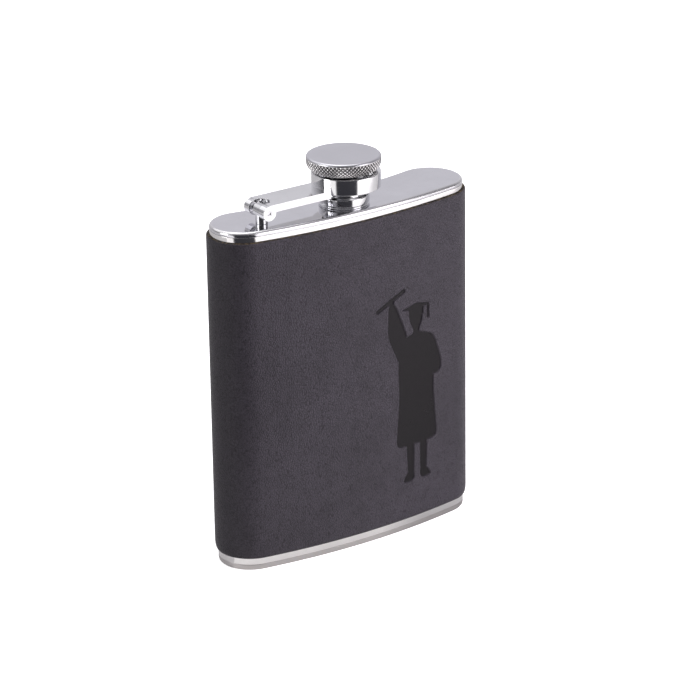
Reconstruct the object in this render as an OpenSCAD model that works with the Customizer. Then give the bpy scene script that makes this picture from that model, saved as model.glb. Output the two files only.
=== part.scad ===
// Curved steel hip flask in a leather wrap, with a captive screw cap on a hinged arm.
// Millimetres. +Z is up, +X runs along the width, the bowed front face looks along -Y.
// Origin: in the plane the base rests on, directly under the axis of the threaded neck.

/* [Body] */
// Width of the bare steel body from end to end
steel_w = 93; // [75:0.5:120]
// Thickness of the steel body at its middle, bowed front to hollow back
steel_t = 20.6; // [16:0.1:28]
// Radius of the two rounded ends in plan
end_r = 10.6; // [8:0.1:15]
// Radius of the bowed front face in plan
front_r = 210; // [150:1:400]
// Height of the flat top plate above the table
plate_z = 114; // [90:0.5:140]
// Thickness of the wrapped body sheet
wall = 0.6; // [0.5:0.05:1]
// Thickness of the pressed top and base plates
plate_t = 0.8; // [0.6:0.05:1]
// Radius of the pressed edge of the top and base plates
edge_r = 1.0; // [0.8:0.05:2]
// Height of the seam between the base pan and the body sheet
low_seam = 2.0; // [1.6:0.1:4]
// Depth of the seam between the top pan and the body sheet, below the top
top_seam = 1.6; // [1.4:0.1:4]

/* [Leather] */
// Thickness of the leather
hide = 1.0; // [0.8:0.05:1.6]
// Lower edge of the leather above the table
hide_z0 = 4.2; // [3:0.1:10]
// Upper edge of the leather above the table
hide_z1 = 110.6; // [80:0.1:112]
// Depth of the figure pressed into the front
emblem_depth = 0.35; // [0.2:0.05:0.6]
// Distance of the pressed figure's middle from the centre of the front
emblem_x = 20.2; // [-25:0.1:25]
// Height of the pressed figure's feet above the table
emblem_z = 17.4; // [8:0.1:30]
// Head height of the pressed figure, which is eight of them tall
figure_head = 7.5; // [6:0.1:8]
// Width of the butt joint between the two ends of the leather, at the back
butt_gap = 0.3; // [0.2:0.05:0.6]

/* [Neck] */
// Bore radius of the mouth
mouth_r = 4.5; // [3.5:0.1:5]
// Root radius of the screw thread
root_r = 5.05; // [4.8:0.05:5.2]
// Crest radius of the screw thread
crest_r = 5.5; // [5.3:0.05:5.6]
// Height of the mouth above the top plate
neck_h = 8.2; // [6:0.1:9]
// Radius of the flange that is welded to the top plate
flange_r = 8.0; // [7:0.1:9]
// Height of the flange
flange_h = 0.6; // [0.5:0.05:1]
// Pitch of the thread
pitch = 2.2; // [1.8:0.1:3]

/* [Cap] */
// Radius of the knurled head
head_r = 11.85; // [10:0.05:14]
// Height of the underside of the head above the top plate
head_lo = 10.9; // [10.9:0.1:12]
// Height of the top of the head above the top plate
head_hi = 16; // [15:0.1:18]
// Rounding of the head's upper edge
head_edge = 0.8; // [0.4:0.05:1]
// Rounding of the head's lower edge
head_round = 3; // [1:0.1:3.2]
// Length of the plug under the head that backs the seal
plug_h = 1.2; // [0.8:0.1:1.4]
// Radius of the skirt under the collar
skirt_r = 8.13; // [8:0.01:8.6]
// Height of the top of the skirt above the top plate
skirt_top = 3.2; // [2.5:0.1:4]
// Radius of the cap's waist inside the collar
waist_r = 6.6; // [6.4:0.05:6.8]
// Bore radius of the cap
cap_bore = 5.95; // [5.9:0.01:6.05]
// Gap between the skirt and the flange when the cap is closed
skirt_gap = 0.15; // [0.1:0.05:0.4]

/* [Arm and hinge] */
// Distance of the hinge pin from the neck axis
hinge_x = 31.8; // [28:0.05:36]
// Height of the hinge pin above the top plate
hinge_h = 4.2; // [4:0.05:5]
// Width of the arm
arm_w = 10.9; // [8:0.1:12]
// Thickness of the arm
arm_t = 2.4; // [2:0.05:3]
// Height of the arm's underside above the pin
arm_rise = 0.2; // [0:0.05:0.3]
// Radius of the hinge pin
pin_r = 1.1; // [0.9:0.05:1.3]
// Running clearance between the pin and the lug
pin_clear = 0.06; // [0.02:0.01:0.1]
// Width of the fork's slot
slot_w = 5.4; // [4:0.1:6]
// Width of the lug in the slot
lug_w = 3.85; // [2:0.05:4]
// Radius of the lug's rounded top
lug_r = 2.1; // [1.8:0.05:2.2]
// Outer radius of the collar
collar_r = 11.0; // [10:0.1:12]
// Inner radius of the collar
collar_in = 9.3; // [9:0.1:10]
// Radius of the hole in the collar's floor
floor_r = 7.8; // [7.7:0.05:7.9]
// How far the loose collar sits off the cap's axis
collar_play = 0.85; // [0:0.05:0.85]

/* [Hidden] */
$fn = 96;
xc = steel_w / 2 - end_r;
yf = front_r - steel_t / 2;
yc = yf - sqrt(pow(front_r - end_r, 2) - pow(xc, 2));
back_r = (pow(xc, 2) + pow(steel_t / 2 - yc, 2) - pow(end_r, 2))
         / (2 * (yc + end_r - steel_t / 2));
yb = steel_t / 2 + back_r;
a_front = atan2(xc, yf - yc);
a_back = atan2(xc, yb - yc);
seam_z = plate_z - top_seam;
neck_z = plate_z + neck_h;
skirt_z = plate_z + flange_h + skirt_gap;
floor_z = plate_z + 5.4;
collar_z = plate_z + 10.5;
head_z = plate_z + head_lo;
cap_z = plate_z + head_hi;
pin_z = plate_z + hinge_h;
ear_r = arm_t;
arm_z = pin_z + arm_rise;

steel = [0.78, 0.78, 0.80];
satin = [0.70, 0.69, 0.70];
black_hide = [0.13, 0.125, 0.13];
rubber = [0.85, 0.84, 0.80];

// ---- plan outline: front arc, two end arcs and a hollow back arc, grown by off ----

// Points of one arc about (cx, cy) from angle a0 up to, but not including, angle a1.
function arc(cx, cy, r, a0, a1, n) =
    [for (i = [0 : n - 1]) let (a = a0 + (a1 - a0) * i / n) [cx + r * cos(a), cy + r * sin(a)]];

function outline(off) = concat(
    arc(0, yf, front_r + off, -90 - a_front, -90 + a_front, 36),
    arc(xc, yc, end_r + off, -90 + a_front, 90 + a_back, 36),
    arc(0, yb, back_r - off, -90 + a_back, -90 - a_back, 30),
    arc(-xc, yc, end_r + off, 90 - a_back, 270 - a_front, 36));

module plan(off) polygon(outline(off));

// A wall that follows the outline, between two distances outside the bare steel.
module band(inner, outer, z0, z1)
    translate([0, 0, z0]) linear_extrude(z1 - z0) difference() {
        plan(outer);
        plan(inner);
    }

// Closed skin through a list of rings, each [distance outside the bare steel, height].
module loft(rings) {
    n = len(outline(0));
    m = len(rings);
    pts = [for (q = rings) each [for (p = outline(q[0])) [p[0], p[1], q[1]]]];
    sides = [for (j = [0 : m - 2]) for (i = [0 : n - 1])
        let (a = j * n + i, b = j * n + (i + 1) % n)
        each [[a, a + n, b], [b, a + n, b + n]]];
    polyhedron(pts, concat(sides, [[for (i = [0 : n - 1]) i],
                                   [for (i = [n - 1 : -1 : 0]) (m - 1) * n + i]]));
}

// ---- the vessel ----

module body_shell() color(steel) band(-wall, 0, low_seam, seam_z);

// A pressed pan with its top at z = 0: flat plate, rounded edge and a short skirt.
module pan(depth) difference() {
    loft(concat([[0, -depth]],
                [for (a = [0 : 18 : 90])
                    [-edge_r + edge_r * cos(a), -edge_r + edge_r * sin(a)]]));
    translate([0, 0, -depth - 1]) linear_extrude(depth + 1 - plate_t) plan(-wall);
}

module top_plate() color(steel) difference() {
    translate([0, 0, plate_z]) pan(top_seam);
    translate([0, 0, plate_z - 3]) cylinder(r = root_r, h = 6);
}

module base_plate() color(satin)
    mirror([0, 0, 1]) pan(low_seam);

// ---- the neck ----

// A single helical ridge with a flat crest, run out into the neck at both ends.
module thread_ridge(z0, turns) {
    steps = 30;
    count = floor(steps * turns);
    inner = root_r - 0.25;
    function fade(i) = min(1, min(i, count - i) / 6);
    function crest(i) = inner + 0.05 + (crest_r - inner - 0.05) * fade(i);
    pts = [for (i = [0 : count]) let (a = 360 * i / steps, z = z0 + pitch * i / steps,
                                      c = crest(i))
        each [[inner * cos(a), inner * sin(a), z - 0.75],
              [c * cos(a), c * sin(a), z - 0.2],
              [c * cos(a), c * sin(a), z + 0.2],
              [inner * cos(a), inner * sin(a), z + 0.75]]];
    sides = [for (i = [0 : count - 1]) for (k = [0 : 3]) let (p = 4 * i + k, q = 4 * i + (k + 1) % 4)
        each [[q, p + 4, p], [q + 4, p + 4, q]]];
    e = 4 * count;
    polyhedron(pts, concat(sides, [[2, 1, 0], [3, 2, 0], [e, e + 1, e + 2], [e, e + 2, e + 3]]));
}

module neck() color(steel) difference() {
    union() {
        translate([0, 0, plate_z - plate_t]) cylinder(r = root_r, h = neck_h + plate_t);
        translate([0, 0, plate_z]) cylinder(r = flange_r, h = flange_h);
        thread_ridge(plate_z + 2.2, 2.1);
    }
    translate([0, 0, plate_z - 3]) cylinder(r = mouth_r, h = neck_h + 6);
}

// ---- hinge ----

module hinge_lug() color(steel) difference() {
    translate([-hinge_x, -slot_w / 2 + 0.05 + lug_w, 0]) rotate([90, 0, 0]) linear_extrude(lug_w) {
        translate([0, pin_z]) circle(r = lug_r);
        translate([-lug_r, plate_z]) square([2 * lug_r, hinge_h]);
    }
    translate([-hinge_x, 10, pin_z]) rotate([90, 0, 0]) cylinder(r = pin_r + pin_clear, h = 20);
}

module hinge_pin() color(satin) difference() {
    translate([-hinge_x, arm_w / 2, pin_z]) rotate([90, 0, 0]) cylinder(r = pin_r, h = arm_w);
    translate([-hinge_x, -arm_w / 2 + 0.3, pin_z]) rotate([90, 0, 0]) cylinder(r = 0.45, h = 1);
}

// Flat bar with two rounded ears at the hinge end, cut to the collar's outside at the other.
module cap_arm() color(steel) difference() {
    union() {
        translate([-hinge_x, -arm_w / 2, arm_z])
            cube([hinge_x + collar_play, arm_w, arm_t]);
        translate([-hinge_x, arm_w / 2, pin_z]) rotate([90, 0, 0])
            cylinder(r = ear_r, h = arm_w);
    }
    translate([collar_play, 0, arm_z - 5]) cylinder(r = collar_r, h = 12);
    translate([-hinge_x - 5, -slot_w / 2, pin_z - 5]) cube([5 + lug_r + 0.35, slot_w, 12]);
    translate([-hinge_x + 0.9, 0, pin_z - 5]) cylinder(r = 2.3, h = 12);
    translate([-hinge_x, 10, pin_z]) rotate([90, 0, 0]) cylinder(r = pin_r, h = 20);
}

// Shallow cup with a hole in its floor; the cap's waist turns in the hole.
module arm_collar() color(steel) translate([collar_play, 0, 0]) difference() {
    translate([0, 0, floor_z]) cylinder(r = collar_r, h = collar_z - floor_z);
    translate([0, 0, floor_z + 1]) cylinder(r = collar_in, h = 20);
    translate([0, 0, floor_z - 5]) cylinder(r = floor_r, h = 20);
}

// ---- captive cap ----

module cap_head() color(satin) rotate_extrude() polygon(concat(
    [[0, head_z - plug_h], [cap_bore, head_z - plug_h], [cap_bore, head_z]],
    arc(head_r - head_round, head_z + head_round, head_round, -90, 0, 12),
    arc(head_r - head_edge, cap_z - head_edge, head_edge, 0, 90, 6),
    [[head_r - head_edge, cap_z], [0, cap_z]]));

module cap_sleeve() color(steel) rotate_extrude() difference() {
    union() {
        translate([0, skirt_z]) square([skirt_r, plate_z + skirt_top - skirt_z]);
        translate([0, skirt_z]) square([waist_r, head_z - skirt_z]);
    }
    translate([-20, skirt_z - 5]) square([20 + cap_bore, 30]);
}

module cap_seal() color(rubber)
    translate([0, 0, neck_z + 0.35]) cylinder(r = cap_bore, h = head_z - plug_h - neck_z - 0.35);

// ---- leather ----

// Points given in head heights, in mm.
function heads(pts) = [for (p = pts) p * figure_head];
// The same points on the other side of the figure's middle line.
function other_side(pts) = [for (i = [len(pts) - 1:-1:0]) [-pts[i][0], pts[i][1]]];

// Graduate in a gown, one arm up with a rolled paper: plain shapes, eight heads tall, feet at
// the origin, both sides alike apart from the arms. The head is an ellipse and has no face.
module graduate() {
    polygon(heads([for (a = [0:7.5:352.5]) [0.36 * cos(a), 7.5 + 0.5 * sin(a)]]));
    polygon(heads([[-0.17, 6.6], [0.17, 6.6], [0.17, 7.2], [-0.17, 7.2]]));
    polygon(heads([[-0.4, 7.55], [0.4, 7.55], [0.42, 8.0], [-0.42, 8.0]]));
    polygon(heads([[-0.8, 7.98], [0, 7.8], [0.8, 7.98], [0, 8.16]]));
    polygon(heads([[0.62, 7.3], [0.74, 7.3], [0.74, 7.98], [0.62, 7.98]]));
    polygon(heads([[-1.15, 1.7], [1.15, 1.7], [0.95, 4.0], [1.0, 5.2], [0.95, 6.5],
                   [0.3, 6.8], [-0.3, 6.8], [-0.95, 6.5], [-1.0, 5.2], [-0.95, 4.0]]));
    polygon(heads([[-0.95, 5.6], [-0.5, 6.7], [-1.2, 8.4], [-1.5, 8.4], [-1.55, 6.9]]));
    polygon(heads([for (a = [0:15:345]) [0.17 * cos(a) - 1.38, 0.17 * sin(a) + 8.5]]));
    polygon(heads([[-2.06, 8.14], [-0.66, 8.76], [-0.74, 8.94], [-2.14, 8.32]]));
    polygon(heads([[0.6, 6.65], [0.6, 5.2], [0.95, 4.6], [1.4, 4.7], [1.45, 5.2], [1.0, 6.45]]));
    leg = [[0.2, 0.3], [0.5, 0.3], [0.58, 1.8], [0.18, 1.8]];
    shoe = [[0.18, 0.0], [0.78, 0.0], [0.72, 0.2], [0.52, 0.45], [0.18, 0.45]];
    polygon(heads(leg));
    polygon(heads(shoe));
    polygon(heads(other_side(leg)));
    polygon(heads(other_side(shoe)));
}

// Thin hide glued round the steel, its two ends meeting in a butt joint at the back.
module leather_wrap() color(black_hide) difference() {
    band(0, hide, hide_z0, hide_z1);
    translate([-butt_gap / 2, 0, hide_z0 - 1]) cube([butt_gap, 40, hide_z1 - hide_z0 + 2]);
    intersection() {
        translate([emblem_x, 0, emblem_z]) rotate([90, 0, 0]) linear_extrude(30) graduate();
        band(hide - emblem_depth, hide + 1, hide_z0, hide_z1);
    }
}

// ---- output ----

body_shell();
top_plate();
base_plate();
neck();
hinge_lug();
hinge_pin();
cap_arm();
arm_collar();
cap_head();
cap_sleeve();
cap_seal();
leather_wrap();
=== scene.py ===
import math

import bmesh
import bpy
import numpy as np
from mathutils import Matrix, Vector


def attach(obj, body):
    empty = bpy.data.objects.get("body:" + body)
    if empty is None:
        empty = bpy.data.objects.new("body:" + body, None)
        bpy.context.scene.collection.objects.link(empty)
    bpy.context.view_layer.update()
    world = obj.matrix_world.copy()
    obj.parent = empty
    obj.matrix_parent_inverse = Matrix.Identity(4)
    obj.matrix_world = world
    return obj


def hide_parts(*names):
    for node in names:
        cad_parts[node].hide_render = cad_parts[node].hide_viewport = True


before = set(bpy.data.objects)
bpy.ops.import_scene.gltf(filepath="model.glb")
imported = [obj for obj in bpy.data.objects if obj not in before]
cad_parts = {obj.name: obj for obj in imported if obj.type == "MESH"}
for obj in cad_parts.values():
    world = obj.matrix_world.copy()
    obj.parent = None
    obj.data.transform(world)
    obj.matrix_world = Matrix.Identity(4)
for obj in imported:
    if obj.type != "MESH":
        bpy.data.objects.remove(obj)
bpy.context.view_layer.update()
MM = 0.001

# ------------------------------------------------------------------ sizes, in mm
STEEL_W, STEEL_T, END_R, FRONT_R = 93.0, 20.6, 10.6, 210.0
PLATE_Z, WALL, PLATE_T = 114.0, 0.6, 0.8
LOW_SEAM, TOP_SEAM = 2.0, 1.6
HIDE, HIDE_Z0, HIDE_Z1 = 1.0, 4.2, 110.6
HINGE_X, PIN_Z = 31.8, 118.2
PLAY = 0.85

XC = STEEL_W / 2 - END_R
YF = FRONT_R - STEEL_T / 2
YC = YF - math.sqrt((FRONT_R - END_R) ** 2 - XC ** 2)
BACK_R = (XC ** 2 + (STEEL_T / 2 - YC) ** 2 - END_R ** 2) / (2 * (YC + END_R - STEEL_T / 2))
YB = STEEL_T / 2 + BACK_R
A_FRONT = math.atan2(XC, YF - YC)
A_BACK = math.atan2(XC, YB - YC)


def outline(off, counts=(90, 60, 90, 60)):
    """Plan outline grown by off, counter-clockwise from the front's left end; N x 2."""
    h = math.pi / 2
    arcs = [(0, YF, FRONT_R + off, -h - A_FRONT, -h + A_FRONT),
            (XC, YC, END_R + off, -h + A_FRONT, h + A_BACK),
            (0, YB, BACK_R - off, -h + A_BACK, -h - A_BACK),
            (-XC, YC, END_R + off, h - A_BACK, 3 * h - A_FRONT)]
    out = []
    for (cx, cy, r, a0, a1), n in zip(arcs, counts):
        a = a0 + (a1 - a0) * np.arange(n) / n
        out.append(np.stack([cx + r * np.cos(a), cy + r * np.sin(a)], 1))
    return np.concatenate(out)


# ------------------------------------------------------------------ mesh helpers
def smooth_by_angle(ob, degrees):
    """Smooth shading that keeps edges sharper than the angle."""
    bpy.context.view_layer.objects.active = ob
    ob.select_set(True)
    bpy.ops.object.shade_smooth_by_angle(angle=math.radians(degrees))
    ob.select_set(False)


def new_mesh(name, verts, faces, smooth=True, sharp=None):
    """Object from points in mm; sharp is the angle above which edges stay sharp."""
    me = bpy.data.meshes.new(name)
    me.from_pydata([tuple(v) for v in np.asarray(verts, float) * MM], [], faces)
    me.validate()
    me.update()
    ob = bpy.data.objects.new(name, me)
    bpy.context.scene.collection.objects.link(ob)
    if smooth:
        me.polygons.foreach_set("use_smooth", [True] * len(me.polygons))
    if sharp is not None:
        smooth_by_angle(ob, sharp)
    return ob


def loft_rings(rings, closed=True):
    """Quads between equal-length rings of points (each N x 3). closed joins last to first."""
    n = len(rings[0])
    verts = np.concatenate(rings)
    m = len(rings)
    faces = []
    for j in range(m if closed else m - 1):
        a, b = j * n, ((j + 1) % m) * n
        for i in range(n):
            k = (i + 1) % n
            faces.append((a + i, a + k, b + k, b + i))
    return verts, faces


def ring(off, z, counts=(90, 60, 90, 60)):
    """The plan outline grown by off, at height z."""
    p = outline(off, counts)
    return np.column_stack([p, np.full(len(p), z)])


def arc2(cx, cz, r, a0, a1, n):
    """Points of an arc in a profile, from angle a0 to a1 in degrees."""
    a = np.radians(np.linspace(a0, a1, n + 1))
    return [(cx + r * math.cos(t), cz + r * math.sin(t)) for t in a]


def lathe(name, profile, n=160, cx=0.0, cy=0.0, closed=True, sharp=35, fn=None):
    """Turns a profile of (radius, z) about a vertical axis at (cx, cy). Faces look outward
    when the profile runs counter-clockwise in (radius, z)."""
    a = np.linspace(0, 2 * math.pi, n, endpoint=False)
    rings = []
    for r, z in profile:
        rr = np.full(n, float(r))
        zz = np.full(n, float(z))
        if fn:
            rr, zz = fn(a, rr, zz)
        rings.append(np.column_stack([cx + rr * np.cos(a), cy + rr * np.sin(a), zz]))
    v, f = loft_rings(rings, closed)
    return new_mesh(name, v, f, sharp=sharp)


def finish_piece(ob, body, mat, nodes=()):
    """Gives a piece its material, body and the CAD nodes that it stands for."""
    ob.data.materials.clear()
    ob.data.materials.append(mat)
    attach(ob, body)
    if nodes:
        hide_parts(*nodes)
    return ob


# ------------------------------------------------------------------ material helpers
class Mat:
    """A node material with short calls for the nodes used here."""

    def __init__(self, name):
        self.mat = bpy.data.materials.new(name)
        self.mat.use_nodes = True
        self.nt = self.mat.node_tree
        self.nt.nodes.clear()
        self.out = self.nt.nodes.new("ShaderNodeOutputMaterial")
        self.bsdf = self.nt.nodes.new("ShaderNodeBsdfPrincipled")
        self.nt.links.new(self.bsdf.outputs[0], self.out.inputs[0])
        self.geo = self.nt.nodes.new("ShaderNodeTexCoord").outputs["Object"]

    def set(self, **kw):
        for k, v in kw.items():
            self.bsdf.inputs[k.replace("_", " ")].default_value = v
        return self

    def link(self, a, b):
        self.nt.links.new(a, b)

    def mapping(self, scale=(1, 1, 1), rot=(0, 0, 0), loc=(0, 0, 0), vec=None):
        n = self.nt.nodes.new("ShaderNodeMapping")
        n.inputs["Scale"].default_value = scale
        n.inputs["Rotation"].default_value = rot
        n.inputs["Location"].default_value = loc
        self.link(vec or self.geo, n.inputs["Vector"])
        return n.outputs[0]

    def noise(self, scale, detail=4.0, rough=0.5, vec=None, distortion=0.0):
        n = self.nt.nodes.new("ShaderNodeTexNoise")
        n.inputs["Scale"].default_value = scale
        n.inputs["Detail"].default_value = detail
        n.inputs["Roughness"].default_value = rough
        n.inputs["Distortion"].default_value = distortion
        self.link(vec or self.geo, n.inputs["Vector"])
        return n.outputs["Fac"]

    def voronoi(self, scale, feature="F1", vec=None, out="Distance", randomness=1.0):
        n = self.nt.nodes.new("ShaderNodeTexVoronoi")
        n.feature = feature
        n.inputs["Scale"].default_value = scale
        n.inputs["Randomness"].default_value = randomness
        self.link(vec or self.geo, n.inputs["Vector"])
        return n.outputs[out]

    def math(self, op, a, b=None, clamp=False):
        n = self.nt.nodes.new("ShaderNodeMath")
        n.operation = op
        n.use_clamp = clamp
        for i, v in enumerate((a, b)):
            if v is None:
                continue
            if isinstance(v, (int, float)):
                n.inputs[i].default_value = v
            else:
                self.link(v, n.inputs[i])
        return n.outputs[0]

    def remap(self, v, a, b, c, d):
        n = self.nt.nodes.new("ShaderNodeMapRange")
        for i, x in zip(range(1, 5), (a, b, c, d)):
            n.inputs[i].default_value = x
        self.link(v, n.inputs[0])
        return n.outputs[0]

    def mix(self, fac, a, b):
        n = self.nt.nodes.new("ShaderNodeMix")
        n.data_type = "RGBA"
        if isinstance(fac, (int, float)):
            n.inputs[0].default_value = fac
        else:
            self.link(fac, n.inputs[0])
        for sock, v in ((n.inputs[6], a), (n.inputs[7], b)):
            if isinstance(v, tuple):
                sock.default_value = v if len(v) == 4 else (*v, 1)
            else:
                self.link(v, sock)
        return n.outputs[2]

    def bump(self, height, strength=0.3, distance=0.1, normal=None):
        n = self.nt.nodes.new("ShaderNodeBump")
        n.inputs["Strength"].default_value = strength
        n.inputs["Distance"].default_value = distance * MM
        self.link(height, n.inputs["Height"])
        if normal is not None:
            self.link(normal, n.inputs["Normal"])
        return n.outputs[0]

    def attribute(self, name):
        n = self.nt.nodes.new("ShaderNodeAttribute")
        n.attribute_name = name
        return n.outputs["Fac"]

    def axis(self, k):
        n = self.nt.nodes.new("ShaderNodeSeparateXYZ")
        self.link(self.geo, n.inputs[0])
        return n.outputs[k]


def steel(name, colour=(0.80, 0.80, 0.82), rough=0.06, haze=0.05, wave=0.02, brushed=None,
          grime_and_shade=None):
    """Polished stainless steel with faint haze, fine wipe marks and a slight waviness."""
    m = Mat(name)
    m.set(Metallic=1.0)
    blotch = m.noise(90, 5, 0.6)
    fine = m.noise(900, 3, 0.6)
    col = m.mix(m.remap(blotch, 0.35, 0.7, 0, 1),
                tuple(c * 0.96 for c in colour), tuple(min(1, c * 1.03) for c in colour))
    if grime_and_shade:
        # grime and painted shade: where the mask is up, the colour goes dark, as dirt and as the shade
        # inside recesses
        col = m.mix(m.attribute(grime_and_shade), col, (0.05, 0.045, 0.045))
    m.link(col, m.bsdf.inputs["Base Color"])
    r = m.math("ADD", m.math("MULTIPLY", m.remap(blotch, 0.3, 0.75, 0, 1), haze), rough)
    scratch = m.noise(1.0, 4, 0.7, vec=m.mapping((260, 2600, 1800), rot=(0, 0, 0.5)))
    r = m.math("ADD", r, m.math("MULTIPLY", m.remap(scratch, 0.55, 0.8, 0, 1), haze * 0.8))
    m.link(r, m.bsdf.inputs["Roughness"])
    n = m.bump(m.noise(55, 2, 0.4), 0.25, wave)
    if brushed:
        lines = m.noise(1.0, 3, 0.6, vec=m.mapping(brushed))
        n = m.bump(lines, 0.35, 0.012, n)
    n = m.bump(fine, 0.15, 0.003, n)
    m.link(n, m.bsdf.inputs["Normal"])
    return m.mat


def leather_material():
    m = Mat("leather_black")
    m.set(Metallic=0.0, IOR=1.36, Specular_Tint=(1.0, 0.94, 1.0, 1.0))
    emb = m.attribute("pressed")
    edge = m.attribute("raw")
    cell = m.voronoi(2100, "F1")
    crease = m.voronoi(1500, "DISTANCE_TO_EDGE", vec=m.mapping((1, 1, 0.75)))
    cloud = m.noise(38, 5, 0.6)
    patch = m.noise(240, 4, 0.6)
    fine = m.noise(3600, 3, 0.65)
    pores = m.remap(cell, 0.05, 0.5, 0, 1)
    folds = m.remap(crease, 0.0, 0.16, 0, 1)
    grain = m.math("ADD", m.math("MULTIPLY", pores, 0.35), m.math("MULTIPLY", folds, 0.65))
    rest = m.math("SUBTRACT", 1.0, emb)
    base = m.mix(m.remap(cloud, 0.3, 0.7, 0, 1), (0.0205, 0.0185, 0.0232), (0.0340, 0.0305, 0.0382))
    base = m.mix(m.remap(patch, 0.3, 0.75, 0, 0.6), base, (0.041, 0.0362, 0.0453))
    base = m.mix(m.math("MULTIPLY", m.math("SUBTRACT", 1.0, grain), rest), base,
                 (0.005, 0.0045, 0.005))
    # the pressed figure is coloured much darker: painted shade, for its smooth face mirroring a dim part
    # of the room
    base = m.mix(emb, base, (0.0016, 0.0013, 0.0017))
    raw_col = m.mix(m.remap(m.noise(1300, 4, 0.7), 0.48, 0.72, 0, 1),
                    (0.012, 0.009, 0.007), (0.20, 0.145, 0.075))
    base = m.mix(edge, base, raw_col)
    m.link(base, m.bsdf.inputs["Base Color"])
    rough = m.remap(grain, 0.2, 1.0, 0.50, 0.34)
    rough = m.math("ADD", rough, m.math("MULTIPLY", m.remap(cloud, 0.3, 0.7, -1, 1), 0.03))
    rough = m.math("SUBTRACT", rough, m.math("MULTIPLY", emb, 0.05))
    rough = m.math("ADD", rough, m.math("MULTIPLY", edge, 0.3), clamp=True)
    m.link(rough, m.bsdf.inputs["Roughness"])
    amount = m.math("SUBTRACT", 1.0, m.math("MULTIPLY", emb, 0.85))
    h = m.math("ADD", m.math("MULTIPLY", pores, 0.35), m.math("MULTIPLY", folds, 0.6))
    h = m.math("ADD", h, m.math("MULTIPLY", fine, 0.45))
    h = m.math("MULTIPLY", h, amount)
    n = m.bump(m.noise(60, 3, 0.5), 0.35, 0.15)
    n = m.bump(h, 1.0, 0.10, n)
    m.link(n, m.bsdf.inputs["Normal"])
    return m.mat


def rubber_material():
    m = Mat("seal_rubber")
    m.set(Roughness=0.6)
    c = m.mix(m.noise(300, 4, 0.6), (0.74, 0.73, 0.69), (0.82, 0.81, 0.77))
    m.link(c, m.bsdf.inputs["Base Color"])
    m.link(m.bump(m.noise(2500, 3, 0.6), 0.3, 0.02), m.bsdf.inputs["Normal"])
    return m.mat


MAT_BODY = steel("steel_body", (0.87, 0.855, 0.85), 0.07, 0.05, 0.02)
MAT_PLATE = steel("steel_plate", (0.76, 0.755, 0.79), 0.045, 0.04, 0.03)
MAT_NECK = steel("steel_neck", (0.82, 0.82, 0.83), 0.08, 0.05, 0.01)
MAT_ARM = steel("steel_arm", (0.86, 0.86, 0.87), 0.08, 0.04, 0.015)
MAT_HEAD = steel("steel_head", (0.69, 0.685, 0.72), 0.27, 0.06, 0.01, brushed=(300, 3000, 300))
# the knurl's grooves are darkened through the groove mask: grime and painted shade in the grooves
MAT_KNURL = steel("steel_knurl", (0.86, 0.84, 0.845), 0.26, 0.05, 0.01, grime_and_shade="groove")
# the base steel is darker than the body steel: painted shade, for the shaded floor next to the flask that
# it mirrors
MAT_BASE_SHADED = steel("steel_base_shaded", (0.56, 0.535, 0.53), 0.34, 0.05, 0.02)
MAT_RIM = steel("steel_rim", (0.84, 0.83, 0.84), 0.17, 0.05, 0.01)
MAT_LUG = steel("steel_lug", (0.70, 0.70, 0.71), 0.14, 0.06, 0.01)
MAT_PIN = steel("steel_pin", (0.70, 0.70, 0.72), 0.18, 0.06, 0.01)
MAT_HIDE = leather_material()
MAT_SEAL = rubber_material()

# ------------------------------------------------------------------ body shell and pans
rounded = 0.07  # edge rounding of the sheet
prof = ([(-WALL, LOW_SEAM + 0.03)] + arc2(-rounded, LOW_SEAM + 0.03 + rounded, rounded, -90, 0, 4)
        + [(0, HIDE_Z0), (0, 30), (0, 60), (0, 90), (0, HIDE_Z1)]
        + arc2(-rounded, PLATE_Z - TOP_SEAM - 0.03 - rounded, rounded, 0, 90, 4)
        + [(-WALL, PLATE_Z - TOP_SEAM - 0.03), (-WALL, 60)])
v, f = loft_rings([ring(o, z) for o, z in prof])
shell = new_mesh("body_steel", v, f, sharp=40)
finish_piece(shell, "flask", MAT_BODY, ["body_shell"])


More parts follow.
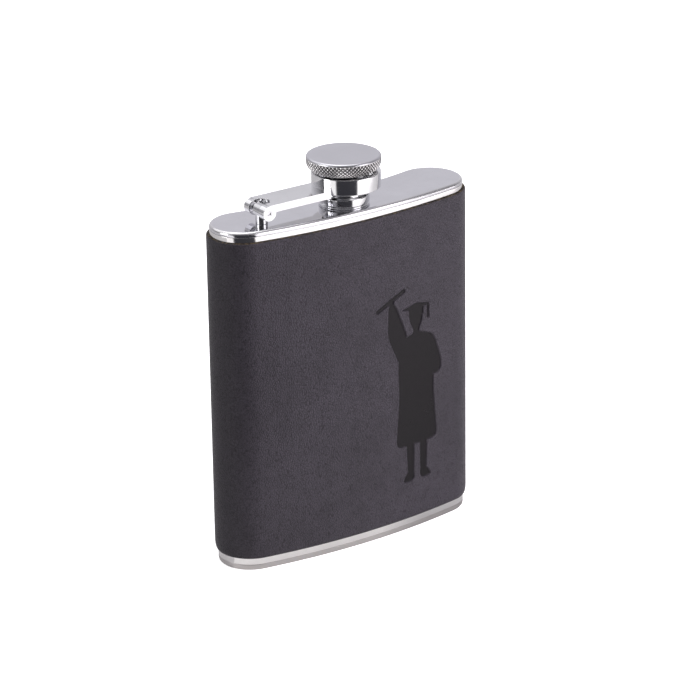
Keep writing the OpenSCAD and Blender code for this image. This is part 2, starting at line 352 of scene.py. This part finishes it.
def pan(name, top, sign, seam, edge, hole):
    """Pressed plate: rounded rim, short skirt with a softened seam edge, flat face."""
    c = (90, 60, 90, 60)
    s = 0.07  # rounding of the seam edge
    outer = (arc2(-s, top - sign * (seam - 0.03 - s), s, -90 * sign, 0, 4)
             + [(x, top + sign * (z)) for x, z in arc2(-edge, -edge, edge, 0, 90, 14)])
    flat = [(-edge - 0.35, top), (-edge - 1.0, top), (-edge - 2.2, top), (-edge - 4.5, top)]
    rings_ = [ring(o, z, c) for o, z in [(-WALL, top - sign * (seam - 0.03))] + outer + flat]
    inner = [(-WALL, top - sign * (seam - 0.5)), (-WALL, top - sign * (PLATE_T + 0.25)),
             (-WALL - 0.25, top - sign * PLATE_T), (-edge - 1.0, top - sign * PLATE_T),
             (-edge - 4.5, top - sign * PLATE_T)]
    rings2 = [ring(o, z, c) for o, z in inner]
    n = len(rings_[0])
    order = list(reversed(rings_)) + rings2
    v, f = loft_rings(order, closed=False)
    if sign > 0:
        f = [tuple(reversed(q)) for q in f]
    ob = new_mesh(name, v, f, smooth=True)
    bm = bmesh.new()
    bm.from_mesh(ob.data)
    bm.verts.ensure_lookup_table()
    first = [bm.verts[i] for i in range(n)]
    last = [bm.verts[len(v) - n + i] for i in range(n)]
    for loop_ in (first, last):
        edges = [bm.edges.get((loop_[i], loop_[(i + 1) % n])) for i in range(n)]
        if hole:
            z = loop_[0].co.z
            circ = [bm.verts.new((hole * MM * math.cos(a), hole * MM * math.sin(a), z))
                    for a in np.linspace(0, 2 * math.pi, 96, endpoint=False)]
            ce = [bm.edges.new((circ[i], circ[(i + 1) % 96])) for i in range(96)]
            bmesh.ops.triangle_fill(bm, edges=edges + ce, use_beauty=True)
            if loop_ is first:
                top_circ = circ
            else:
                for i in range(96):
                    k = (i + 1) % 96
                    bm.faces.new((top_circ[i], top_circ[k], circ[k], circ[i]))
        else:
            bmesh.ops.triangle_fill(bm, edges=edges, use_beauty=True)
    bmesh.ops.recalc_face_normals(bm, faces=bm.faces)
    for face in bm.faces:
        face.smooth = True
    bm.to_mesh(ob.data)
    bm.free()
    smooth_by_angle(ob, 30)
    return ob


top_pan = pan("top_pan", PLATE_Z, 1, TOP_SEAM, 1.05, 5.05)
finish_piece(top_pan, "flask", MAT_PLATE, ["top_plate"])
top_pan.data.materials.append(MAT_RIM)
for poly in top_pan.data.polygons:
    poly.material_index = int(0.08 < poly.normal.z < 0.985)
finish_piece(pan("base_pan", 0.0, -1, LOW_SEAM, 0.9, 0), "flask",
             MAT_BASE_SHADED, ["base_plate"])

# ------------------------------------------------------------------ neck with its thread
def neck():
    """Spout with a small flange and a helical ridge that runs out at both ends."""
    root_r, crest_r, bore, pitch = 5.05, 5.5, 4.5, 2.2
    z0, z1 = PLATE_Z + 1.6, PLATE_Z + 7.2
    n = 180
    zs = list(np.arange(z0, z1 + 1e-6, 0.11))
    a = np.linspace(0, 2 * math.pi, n, endpoint=False)
    rings = []
    prof_lo = [(bore, PLATE_Z - PLATE_T), (root_r, PLATE_Z - PLATE_T), (root_r, PLATE_Z + 0.02),
               (8.0 - 0.1, PLATE_Z + 0.02), (8.0, PLATE_Z + 0.12), (8.0, PLATE_Z + 0.42),
               (7.93, PLATE_Z + 0.55), (7.8, PLATE_Z + 0.6), (5.6, PLATE_Z + 0.6),
               (5.2, PLATE_Z + 0.72), (root_r, PLATE_Z + 1.0)]
    for r, z in prof_lo:
        rings.append(np.column_stack([r * np.cos(a), r * np.sin(a), np.full(n, z)]))
    for z in zs:
        t = (z - z0) / pitch - a / (2 * math.pi)
        w = np.abs(t - np.round(t)) * 2
        rise = np.clip((0.62 - w) / 0.40, 0, 1)
        rise = rise * rise * (3 - 2 * rise)
        run = np.clip(min(z - z0, z1 - z) / 0.7, 0, 1)
        r = root_r + (crest_r - root_r) * rise * run
        rings.append(np.column_stack([r * np.cos(a), r * np.sin(a), np.full(n, z)]))
    zt = PLATE_Z + 8.2
    prof_hi = [(root_r, zt - 0.55), (root_r, zt - 0.25), (root_r - 0.07, zt - 0.07),
               (root_r - 0.25, zt), (bore + 0.15, zt), (bore + 0.03, zt - 0.05), (bore, zt - 0.2),
               (bore, zt - 4)]
    for r, z in prof_hi:
        rings.append(np.column_stack([r * np.cos(a), r * np.sin(a), np.full(n, z)]))
    v, f = loft_rings(rings)
    return new_mesh("neck_thread", v, f, sharp=50)


finish_piece(neck(), "flask", MAT_NECK, ["neck"])

# ------------------------------------------------------------------ cap
HEAD_Z, CAP_Z, HEAD_R = PLATE_Z + 10.9, PLATE_Z + 16.0, 11.85
HEAD_ROUND, HEAD_EDGE, PLUG_H = 3.0, 0.8, 1.2
CAP_BORE, WAIST_R, SKIRT_R = 5.95, 6.6, 8.13


def knurled_head():
    """Button whose rounded side is pressed with a diamond knurl."""
    around, per_cell, step = 60, 18, 0.085
    n = around * per_cell
    cell = 2 * math.pi * HEAD_R / around
    low = arc2(HEAD_R - HEAD_ROUND, HEAD_Z + HEAD_ROUND, HEAD_ROUND, -90, 0,
               round(HEAD_ROUND * math.pi / 2 / step))
    wall_z = np.arange(HEAD_Z + HEAD_ROUND + step, CAP_Z - HEAD_EDGE, step)
    high = arc2(HEAD_R - HEAD_EDGE, CAP_Z - HEAD_EDGE, HEAD_EDGE, 0, 90, 10)
    side = np.array(low + [(HEAD_R, z) for z in wall_z] + high)
    run = np.r_[0, np.cumsum(np.hypot(*np.diff(side, axis=0).T))]
    end = run[len(low) + len(wall_z)]
    slope = np.gradient(side, run, axis=0)
    a = np.linspace(0, 2 * math.pi, n, endpoint=False)
    under = [(0.01, HEAD_Z - PLUG_H), (CAP_BORE - 0.07, HEAD_Z - PLUG_H),
             (CAP_BORE - 0.02, HEAD_Z - PLUG_H + 0.1), (CAP_BORE - 0.02, HEAD_Z - 0.02),
             (WAIST_R, HEAD_Z - 0.002)]
    over = [(HEAD_R - HEAD_EDGE - 0.3, CAP_Z), (10, CAP_Z), (7, CAP_Z), (4, CAP_Z), (1.5, CAP_Z),
            (0.01, CAP_Z)]
    rings, grooves = [], []
    for r, z in under:
        rings.append(np.column_stack([r * np.cos(a), r * np.sin(a), np.full(n, z)]))
    for (r, z), s, (dr, dz) in zip(side, run, slope):
        fade = np.clip(min(s - 0.5, end + 0.1 - s) / 0.35, 0, 1)
        u, w = a / (2 * math.pi) * around, s / cell
        d1 = np.abs((u + w) % 1 - 0.5) * 2
        d2 = np.abs((u - w) % 1 - 0.5) * 2
        cut = 1 - np.clip(np.minimum(d1, d2) / 0.62, 0, 1)
        depth = 0.26 * fade * cut
        # how deep in a groove a point lies; the knurl material darkens there, as grime and painted shade
        grooves.append(fade * np.clip(cut * 1.5 - 0.18, 0, 1))
        rr, zz = r - depth * dz, z + depth * dr
        rings.append(np.column_stack([rr * np.cos(a), rr * np.sin(a), zz]))
    for r, z in over:
        rings.append(np.column_stack([r * np.cos(a), r * np.sin(a), np.full(n, z)]))
    v, f = loft_rings(rings, closed=False)
    ob = new_mesh("cap_button", v, f, sharp=40)
    finish_piece(ob, "cap", MAT_HEAD, ["cap_head"])
    ob.data.materials.append(MAT_KNURL)
    first, last = len(under) + 3, len(under) + len(low) + len(wall_z)
    groove = np.zeros((len(rings), n), np.float32)
    groove[len(under):len(under) + len(side)] = grooves
    ob.data.attributes.new("groove", "FLOAT", "POINT").data.foreach_set("value", groove.ravel())
    index = np.zeros(len(f), np.int32)
    index[first * n:last * n] = 1
    ob.data.polygons.foreach_set("material_index", index)


knurled_head()


def inner_thread(a, r, z):
    """Presses the cap's thread into the bore of a lathed profile."""
    pitch, z0, z1 = 2.2, 115.6, 121.4
    t = (z - z0) / pitch - a / (2 * math.pi) + 0.5
    w = np.abs(t - np.round(t)) * 2
    rise = np.clip((0.6 - w) / 0.4, 0, 1)
    run = np.clip(np.minimum(z - z0, z1 - z) / 0.7, 0, 1)
    inner = np.abs(r - CAP_BORE) < 1e-4
    return np.where(inner, r - 0.22 * rise * run, r), z


SKIRT_Z0, SKIRT_Z1 = PLATE_Z + 0.75, PLATE_Z + 3.2
SEAL_Z = HEAD_Z - PLUG_H
prof = ([(CAP_BORE, SKIRT_Z0 + 0.15), (CAP_BORE + 0.15, SKIRT_Z0)]
        + arc2(SKIRT_R - 0.2, SKIRT_Z0 + 0.2, 0.2, -90, 0, 6)
        + arc2(SKIRT_R - 0.25, SKIRT_Z1 - 0.25, 0.25, 0, 90, 6)
        + [(6.8, SKIRT_Z1), (WAIST_R, SKIRT_Z1 + 0.15), (WAIST_R, 121), (WAIST_R, HEAD_Z - 0.01),
           (CAP_BORE, HEAD_Z - 0.01)]
        + [(CAP_BORE, z) for z in np.linspace(SEAL_Z - 0.2, SKIRT_Z0 + 0.45, 70)])
sleeve = lathe("cap_skirt", prof, n=200, sharp=40, fn=inner_thread)
finish_piece(sleeve, "cap", MAT_NECK, ["cap_sleeve"])

prof = [(0.01, SEAL_Z - 1.15), (5.6, SEAL_Z - 1.15), (5.9, SEAL_Z - 1.0), (5.93, SEAL_Z - 0.8),
        (5.93, SEAL_Z - 0.03), (0.01, SEAL_Z - 0.02)]
seal = lathe("cap_gasket", prof, n=96, closed=False, sharp=40)
finish_piece(seal, "cap", MAT_SEAL, ["cap_seal"])

# ------------------------------------------------------------------ collar, arm, hinge
b = 0.22  # edge rounding of the collar
COLLAR_Z0, COLLAR_Z1, COLLAR_R, COLLAR_IN, FLOOR_R = PLATE_Z + 5.4, PLATE_Z + 10.5, 11.0, 9.3, 7.8
prof = ([(FLOOR_R + 0.1, COLLAR_Z0)] + arc2(COLLAR_R - b, COLLAR_Z0 + b, b, -90, 0, 6)
        + arc2(COLLAR_R - b, COLLAR_Z1 - b, b, 0, 90, 6)
        + arc2(COLLAR_IN + b, COLLAR_Z1 - b, b, 90, 180, 6)
        + [(COLLAR_IN, COLLAR_Z0 + 2.5), (COLLAR_IN, COLLAR_Z0 + 1.3), (9.2, COLLAR_Z0 + 1.1),
           (9.0, COLLAR_Z0 + 1.0), (FLOOR_R + 0.1, COLLAR_Z0 + 1.0), (FLOOR_R, COLLAR_Z0 + 0.9),
           (FLOOR_R, COLLAR_Z0 + 0.1)])
collar = lathe("collar_ring", prof, n=200, cx=PLAY, sharp=40)
finish_piece(collar, "arm", MAT_ARM, ["arm_collar"])


def soften(node, body, mat, width, name):
    """A copy of a hard CAD piece with its edges rounded; it stands for the CAD node."""
    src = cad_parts[node]
    me = src.data.copy()
    me.name = name
    ob = bpy.data.objects.new(name, me)
    bpy.context.scene.collection.objects.link(ob)
    bm = bmesh.new()
    bm.from_mesh(me)
    bmesh.ops.remove_doubles(bm, verts=bm.verts, dist=1e-6)
    bmesh.ops.dissolve_limit(bm, angle_limit=math.radians(0.5), verts=bm.verts, edges=bm.edges)
    weight = bm.edges.layers.float.new("bevel_weight_edge")
    for edge in bm.edges:
        near_pin = all(math.hypot(q.co.x + HINGE_X * MM, q.co.z - PIN_Z * MM) < 1.25 * MM
                       for q in edge.verts)
        corner = len(edge.link_faces) == 2 and edge.calc_face_angle(0) > math.radians(35)
        edge[weight] = float(corner and not near_pin)
    bm.to_mesh(me)
    bm.free()
    if me.has_custom_normals:
        me.free_custom_normals() if hasattr(me, "free_custom_normals") else None
    mod = ob.modifiers.new("edge", "BEVEL")
    mod.width = width * MM
    mod.segments = 3
    mod.limit_method = "WEIGHT"
    mod.harden_normals = False
    smooth_by_angle(ob, 40)
    return finish_piece(ob, body, mat, [node])


soften("cap_arm", "arm", MAT_ARM, 0.16, "arm_bar")


def rod(name, axis, centre, radii, half):
    """Closed rod with softened ends along axis "y" or "z"; radii are its two half widths."""
    n, e = 96, 0.14
    a = np.linspace(0, 2 * math.pi, n, endpoint=False)
    ends = [(-half, 0.0), (-half, 1 - 2 * e), (-half + 0.3 * e, 1 - 0.3 * e), (-half + e, 1.0),
            (half - e, 1.0), (half - 0.3 * e, 1 - 0.3 * e), (half, 1 - 2 * e), (half, 0.0)]
    rings = []
    for along, k in ends:
        k = max(k, 0.001)
        u, w = radii[0] * k * np.cos(a), radii[1] * k * np.sin(a)
        t = np.full(n, along)
        rings.append(np.column_stack([u, t, -w] if axis == "y" else [u, w, t]) + np.array(centre))
    v, f = loft_rings(rings, closed=False)
    f += [tuple(range(n - 1, -1, -1)), tuple((len(rings) - 1) * n + i for i in range(n))]
    return new_mesh(name, v, f, sharp=40)


def cut_or_join(ob, other, operation):
    """Applies one boolean and removes the other object."""
    mod = ob.modifiers.new(operation.lower(), "BOOLEAN")
    mod.operation = operation
    mod.solver = "EXACT"
    mod.object = other
    with bpy.context.temp_override(object=ob, active_object=ob, selected_objects=[ob]):
        bpy.ops.object.modifier_apply(modifier=mod.name)
    bpy.data.objects.remove(other, do_unlink=True)


LUG_Y0, LUG_Y1, LUG_R = -2.65, 1.2, 2.1
LUG_Y, LUG_HALF = (LUG_Y0 + LUG_Y1) / 2, (LUG_Y1 - LUG_Y0) / 2
lug = rod("lug_block", "y", (-HINGE_X, LUG_Y, PIN_Z), (LUG_R, LUG_R), LUG_HALF)
post_half = (PIN_Z - PLATE_Z) / 2
post = rod("post", "z", (-HINGE_X, LUG_Y, PLATE_Z + post_half), (1.95, 1.86), post_half)
cut_or_join(lug, post, "UNION")
cut_or_join(lug, rod("bore", "y", (-HINGE_X, LUG_Y, PIN_Z), (1.16, 1.16), 4), "DIFFERENCE")
smooth_by_angle(lug, 35)
finish_piece(lug, "flask", MAT_LUG, ["hinge_lug"])
soften("hinge_pin", "arm", MAT_PIN, 0.12, "pin_rod")

# ------------------------------------------------------------------ leather
def seg_dist(px, pz, x0, z0, x1, z1):
    dx, dz = x1 - x0, z1 - z0
    t = np.clip(((px - x0) * dx + (pz - z0) * dz) / (dx * dx + dz * dz), 0, 1)
    return np.hypot(px - x0 - t * dx, pz - z0 - t * dz)


def poly_dist(px, pz, pts):
    """Signed distance to a closed polygon, below zero inside."""
    d = np.full(px.shape, 1e9)
    inside = np.zeros(px.shape, bool)
    n = len(pts)
    for i in range(n):
        x0, z0 = pts[i]
        x1, z1 = pts[(i + 1) % n]
        d = np.minimum(d, seg_dist(px, pz, x0, z0, x1, z1))
        cross = (z0 > pz) != (z1 > pz)
        xi = (x1 - x0) * (pz - z0) / ((z1 - z0) if z1 != z0 else 1e-9) + x0
        inside ^= cross & (px < xi)
    return np.where(inside, -d, d)


# A graduate of plain shapes on eight-head proportions, feet at the origin, in head heights.
LEG = [(0.2, 0.3), (0.5, 0.3), (0.58, 1.8), (0.18, 1.8)]
SHOE = [(0.18, 0.0), (0.78, 0.0), (0.72, 0.2), (0.52, 0.45), (0.18, 0.45)]
FIGURE = [
    [(-1.15, 1.7), (1.15, 1.7), (0.95, 4.0), (1.0, 5.2), (0.95, 6.5), (0.3, 6.8), (-0.3, 6.8),
     (-0.95, 6.5), (-1.0, 5.2), (-0.95, 4.0)],
    [(-0.95, 5.6), (-0.5, 6.7), (-1.2, 8.4), (-1.5, 8.4), (-1.55, 6.9)],
    [(0.6, 6.65), (0.6, 5.2), (0.95, 4.6), (1.4, 4.7), (1.45, 5.2), (1.0, 6.45)],
    LEG, SHOE, [(-x, z) for x, z in LEG], [(-x, z) for x, z in SHOE],
]
CAP_SHAPES = [[(-0.8, 7.98), (0, 7.8), (0.8, 7.98), (0, 8.16)],
              [(-0.4, 7.55), (0.4, 7.55), (0.42, 8.0), (-0.42, 8.0)]]
FIGURE_HEAD = 7.5
EMB_X, EMB_Z = 20.2, 17.4  # the figure's feet on the front


def cut_corners(pts, length=1.3, times=3):
    """Rounds a polygon by cutting its corners again and again, each time half as deep."""
    pts = np.array(pts, float)
    for _ in range(times):
        nxt = np.roll(pts, -1, axis=0)
        gap = np.hypot(*(nxt - pts).T)[:, None]
        cut = np.minimum(length / gap, 0.28)
        pts = np.stack([pts + cut * (nxt - pts), nxt - cut * (nxt - pts)], 1).reshape(-1, 2)
        length *= 0.5
    return [tuple(q) for q in pts]


def figure_dist(x, z):
    """Signed distance to the figure, its parts melted into one another."""
    px, pz = x - EMB_X, z - EMB_Z

    def melt(a, c, k=0.9):
        h = np.clip(0.5 + 0.5 * (c - a) / k, 0, 1)
        return c * (1 - h) + a * h - k * h * (1 - h)

    u = FIGURE_HEAD

    def scaled(pts):
        return [(x * u, z * u) for x, z in pts]

    # a plain ellipse for the head, without a face
    d = (np.hypot(px / 0.36, (pz - 7.5 * u) / 0.5) - u) * 0.36
    d = melt(d, seg_dist(px, pz, 0, 7.1 * u, 0, 6.7 * u) - 0.17 * u)
    for pts in FIGURE:
        d = melt(d, poly_dist(px, pz, cut_corners(scaled(pts))) - 0.15)
    for pts in CAP_SHAPES:
        d = np.minimum(d, poly_dist(px, pz, scaled(pts)) - 0.05)
    d = np.minimum(d, seg_dist(px, pz, 0.68 * u, 7.96 * u, 0.68 * u, 7.35 * u) - 0.45)
    d = melt(d, np.hypot(px + 1.38 * u, pz - 8.5 * u) - 0.17 * u, 0.5)
    return np.minimum(d, seg_dist(px, pz, -2.1 * u, 8.23 * u, -0.7 * u, 8.85 * u) - 0.1 * u)


def leather():
    """Open strip of hide round the steel, with the figure pressed into its front."""
    fine = 0.22
    a0, a1 = -math.pi / 2 - A_FRONT, -math.pi / 2 + A_FRONT
    xs = np.concatenate([np.arange(-XC, 2.5, 1.0), np.arange(2.5, 33.0, fine),
                         np.arange(33.0, XC, 0.6)])
    ang_front = np.arctan2(-np.sqrt(FRONT_R ** 2 - xs ** 2), xs)
    ang_front = ang_front[(ang_front > a0 + 1e-6) & (ang_front < a1 - 1e-6)]
    cols = [(0, YF, FRONT_R, 1, t) for t in np.concatenate([[a0], ang_front])]
    cols += [(XC, YC, END_R, 1, t) for t in np.linspace(a1, math.pi / 2 + A_BACK, 48)[:-1]]
    gap = math.asin(0.15 / BACK_R)
    right = np.linspace(-math.pi / 2 + A_BACK, -math.pi / 2 + gap, 50)
    left = np.linspace(-math.pi / 2 - gap, -math.pi / 2 - A_BACK, 50)
    cols += [(0, YB, BACK_R, -1, t) for t in right]
    i_right = len(cols) - 1
    cols += [(0, YB, BACK_R, -1, t) for t in left[:-1]]
    cols += [(-XC, YC, END_R, 1, t) for t in np.linspace(math.pi / 2 - A_BACK,
                                                       3 * math.pi / 2 - A_FRONT, 48)[:-1]]
    cx, cy, rr, sg, tt = (np.array(k) for k in zip(*cols))
    # the strip starts at the butt joint, so it is one open length of hide
    start = i_right + 1
    order = np.r_[start:len(cols), 0:start]
    cx, cy, rr, sg, tt = cx[order], cy[order], rr[order], sg[order], tt[order]
    n = len(order)
    zf = np.concatenate([np.arange(HIDE_Z0 + 3.2, EMB_Z - 2, 0.8),
                         np.arange(EMB_Z - 2, EMB_Z + 73, fine),
                         np.arange(EMB_Z + 73, HIDE_Z1 - 0.8, 0.8)])
    bottom = [(0.02, HIDE_Z0 + 0.15), (0.10, HIDE_Z0)] + [
        (0.32 + (HIDE - 0.32) * math.sin(t) ** 0.8, HIDE_Z0 + 0.12 + 3.0 * (1 - math.cos(t)))
        for t in np.linspace(0.0, math.pi / 2, 14)]
    top = [(HIDE, HIDE_Z1 - 0.55), (HIDE - 0.02, HIDE_Z1 - 0.32), (HIDE - 0.08, HIDE_Z1 - 0.14),
           (HIDE - 0.22, HIDE_Z1 - 0.02), (HIDE - 0.4, HIDE_Z1), (0.25, HIDE_Z1 - 0.03),
           (0.02, HIDE_Z1 - 0.06)]
    prof = bottom + [(HIDE, z) for z in zf if z > bottom[-1][1] + 0.05] + top
    rng = np.random.default_rng(7)
    wob = np.zeros(n)
    for k in (3, 5, 9, 14, 23, 41):
        wob += rng.normal() / k * np.sin(2 * math.pi * k * np.arange(n) / n + rng.uniform(0, 6.28))
    # offset and height of every point, one row per profile point
    P = np.array(prof)
    off = np.repeat(P[:, 0][:, None], n, 1)
    z = np.repeat(P[:, 1][:, None], n, 1)
    x = cx + (rr + sg * off) * np.cos(tt)
    y = cy + (rr + sg * off) * np.sin(tt)
    front = (rr == FRONT_R)
    d = np.full(x.shape, 9.0)
    in_x = (x > 3.8) & (x < 32.8)
    in_z = (z > EMB_Z - 3) & (z < EMB_Z + 74)
    sel = np.broadcast_to(front, x.shape) & in_x & in_z & (off > HIDE - 1e-6)
    d[sel] = figure_dist(x[sel], z[sel])
    t = np.clip((d + 0.30) / 0.42, 0, 1)
    press = 1 - t * t * (3 - 2 * t)
    lip = 0.05 * np.exp(-((d - 0.42) / 0.30) ** 2)
    off2 = off - 0.34 * press + np.where(sel, lip, 0)
    # slight thickness changes, a small wave in the raw edges and rounding next to the joint
    dist_end = np.abs(np.where(rr == BACK_R, (tt + math.pi / 2) * BACK_R, 99.0))
    roundoff = 0.35 * np.exp(-((dist_end - 0.15) / 0.35) ** 2) * (off > 0.6)
    off2 = off2 - roundoff
    near_top = np.clip((z - (HIDE_Z1 - 1.0)) / 1.0, 0, 1)
    z = z + near_top * 0.05 * wob - 0.02
    x = cx + (rr + sg * off2) * np.cos(tt)
    y = cy + (rr + sg * off2) * np.sin(tt)
    m = len(prof)
    verts = np.column_stack([x.ravel(), y.ravel(), z.ravel()])
    # the profile closes along the steel side; the two ends at the joint are capped
    faces = []
    for j in range(m):
        a, b_ = j * n, ((j + 1) % m) * n
        for i in range(n - 1):
            faces.append((a + i, a + i + 1, b_ + i + 1, b_ + i))
    faces.append(tuple(reversed([j * n for j in range(m)])))
    faces.append(tuple(j * n + n - 1 for j in range(m)))
    ob = new_mesh("leather_skin", verts, faces, sharp=55)
    pr = ob.data.attributes.new("pressed", "FLOAT", "POINT")
    pr.data.foreach_set("value", press.ravel().astype(np.float32))
    raw = np.zeros((m, n), np.float32)
    raw[-6:, :] = np.array([0.0, 0.0, 0.3, 1.0, 1.0, 1.0])[:, None]
    ra = ob.data.attributes.new("raw", "FLOAT", "POINT")
    ra.data.foreach_set("value", raw.ravel())
    return ob


finish_piece(leather(), "flask", MAT_HIDE, ["leather_wrap"])

# ------------------------------------------------------------------ stage, lights, camera
def floor(name, z, material):
    me = bpy.data.meshes.new(name)
    s = 4.0
    me.from_pydata([(-s, -s, z), (s, -s, z), (s, s, z), (-s, s, z)], [], [(0, 1, 2, 3)])
    ob = bpy.data.objects.new(name, me)
    bpy.context.scene.collection.objects.link(ob)
    me.materials.append(material)
    return ob


# The pale floor that is seen, and under it the same table as the polished steel mirrors it:
# its near side lies in the dim part of the studio.
m = Mat("floor_pale")
m.set(Roughness=0.9)
m.bsdf.inputs["Base Color"].default_value = (0.90, 0.90, 0.905, 1)
m.bsdf.inputs["Emission Color"].default_value = (1, 1, 1, 1)
m.bsdf.inputs["Emission Strength"].default_value = 0.7
seen = floor("floor", 0.0, m.mat)
seen.visible_glossy = False
seen.visible_diffuse = False
m = Mat("table_dim")
m.set(Roughness=0.9)
ground_x, ground_y = m.axis(0), m.axis(1)
bearing = m.math("ARCTAN2", ground_y, ground_x)
reach = m.math("SQRT", m.math("ADD", m.math("MULTIPLY", ground_x, ground_x),
                              m.math("MULTIPLY", ground_y, ground_y)))
SECTOR = (-158, -88)  # bearings of the studio's dark part, in degrees
soft = math.radians(2.5)
past_left = m.remap(bearing, math.radians(SECTOR[0]) - soft, math.radians(SECTOR[0]) + soft, 0, 1)
past_right = m.remap(bearing, math.radians(SECTOR[1]) - soft, math.radians(SECTOR[1]) + soft, 1, 0)
dark = m.math("MULTIPLY", m.math("MULTIPLY", past_left, past_right),
              m.remap(reach, 0.07, 0.12, 0, 1))
m.link(m.mix(dark, (0.45, 0.44, 0.44), (0.02, 0.02, 0.024)), m.bsdf.inputs["Base Color"])
# painted contact shadow: the mirrored table glows less within a few centimetres of the flask, as the
# shade next to its base
near = m.math("SQRT", m.math("ADD", m.math("MULTIPLY", m.math("MULTIPLY", ground_x, ground_x), 0.2),
                             m.math("MULTIPLY", ground_y, ground_y)))
glow = m.mix(m.remap(near, 0.010, 0.06, 0, 1), (0.66, 0.645, 0.64), (1.0, 0.985, 0.98))
glow = m.mix(m.remap(bearing, math.radians(-56), math.radians(-24), 0, 1), glow,
             (0.34, 0.335, 0.34))
m.link(m.mix(dark, glow, (0.012, 0.012, 0.016)), m.bsdf.inputs["Emission Color"])
m.bsdf.inputs["Emission Strength"].default_value = 0.72
mirrored = floor("floor_mirrored", -0.0004, m.mat)
mirrored.visible_camera = False


def area(name, loc, target, size, power, colour=(1, 1, 1)):
    li = bpy.data.lights.new(name, "AREA")
    li.shape = "RECTANGLE"
    li.size, li.size_y = size
    li.energy = power
    li.color = colour
    ob = bpy.data.objects.new(name, li)
    ob.location = loc
    ob.rotation_euler = (Vector(target) - Vector(loc)).to_track_quat("-Z", "Y").to_euler()
    bpy.context.scene.collection.objects.link(ob)
    return ob


C = (0, 0, 0.06)


def box_light(name, azimuth, elevation, dist, size, power, colour=(1, 1, 1)):
    az, el = math.radians(azimuth), math.radians(elevation)
    loc = (C[0] + dist * math.cos(az) * math.cos(el), C[1] + dist * math.sin(az) * math.cos(el),
           C[2] + dist * math.sin(el))
    return area(name, loc, C, size, power, colour)


fill = box_light("front_right", -56, 16, 0.95, (0.9, 0.8), 21, (1, 0.96, 1))
fill.visible_glossy = False
box_light("front_card", -62, 14, 0.95, (0.55, 0.8), 2.6, (1, 0.97, 1))
box_light("left", 170, 12, 1.0, (0.35, 0.6), 3)
box_light("top", 70, 78, 1.3, (0.9, 0.9), 3.5)
sun = bpy.data.lights.new("sky_soft", "SUN")
sun.energy = 0.6
sun.angle = math.radians(70)
sun_ob = bpy.data.objects.new("sky_soft", sun)
sun_ob.rotation_euler = (math.radians(-25), math.radians(-22), 0)
bpy.context.scene.collection.objects.link(sun_ob)

# A studio with a broad pale backdrop behind the flask, a ceiling and side walls; one sector is dark.
world = bpy.data.worlds.new("studio")
bpy.context.scene.world = world
world.use_nodes = True
wn, wl = world.node_tree.nodes, world.node_tree.links
bg = wn["Background"]
bg.inputs[1].default_value = 1.0
coord = wn.new("ShaderNodeTexCoord")
dot = wn.new("ShaderNodeVectorMath")
dot.operation = "DOT_PRODUCT"
wl.new(coord.outputs["Generated"], dot.inputs[0])
dot.inputs[1].default_value = Vector((0.50, 0.80, 0.40)).normalized()
split = wn.new("ShaderNodeSeparateXYZ")
wl.new(coord.outputs["Generated"], split.inputs[0])


def world_math(op, a, b):
    node = wn.new("ShaderNodeMath")
    node.operation = op
    for socket, v in zip(node.inputs, (a, b)):
        if isinstance(v, (int, float)):
            socket.default_value = v
        else:
            wl.new(v, socket)
    return node.outputs[0]


def world_remap(v, *limits):
    node = wn.new("ShaderNodeMapRange")
    for socket, x in zip(list(node.inputs)[1:5], limits):
        socket.default_value = x
    wl.new(v, node.inputs[0])
    return node.outputs[0]


backdrop = world_remap(dot.outputs["Value"], -0.10, 0.96, 0.035, 0.66)
ceiling = world_remap(split.outputs[2], 0.35, 0.8, 0.0, 0.42)
heading = world_math("ARCTAN2", split.outputs[1], split.outputs[0])
wing = 8
left_wall = world_remap(heading, math.radians(SECTOR[0] - wing), math.radians(SECTOR[0] + wing),
                        0.34, 0.0)
right_wall = world_remap(heading, math.radians(SECTOR[1] - wing), math.radians(SECTOR[1] + wing),
                         0.0, 0.34)
walls = world_math("MAXIMUM", left_wall, right_wall)
walls = world_math("MINIMUM", walls, world_remap(heading, math.radians(-52), math.radians(-36), 1.0, 0.1))
level = world_math("MAXIMUM", world_math("MAXIMUM", backdrop, ceiling), walls)
tint = wn.new("ShaderNodeCombineXYZ")
for socket, k in zip(tint.inputs, (1.0, 0.985, 1.045)):
    wl.new(world_math("MULTIPLY", level, k), socket)
wl.new(tint.outputs[0], bg.inputs[0])

phi, theta, roll = math.radians(35.065), math.radians(21.366), math.radians(-0.830)
dist, focal = 1121.634, 3506.21
target = Vector((1.419, 0, 63.676)) * MM
back = Vector((-math.sin(phi) * math.cos(theta), -math.cos(phi) * math.cos(theta),
               math.sin(theta)))
right = (-back).cross(Vector((0, 0, 1))).normalized()
up = right.cross(-back)
r_ = right * math.cos(roll) + up * math.sin(roll)
u_ = -right * math.sin(roll) + up * math.cos(roll)
cam = bpy.data.cameras.new("camera")
cam.sensor_width = 36
cam.lens = focal / 700 * 36
cam.clip_start, cam.clip_end = 0.05, 50
cam_ob = bpy.data.objects.new("camera", cam)
m4 = Matrix((r_, u_, back)).transposed().to_4x4()
m4.translation = target + back * dist * MM
cam_ob.matrix_world = m4
bpy.context.scene.collection.objects.link(cam_ob)
bpy.context.scene.camera = cam_ob
bpy.context.scene.view_settings.view_transform = "Standard"
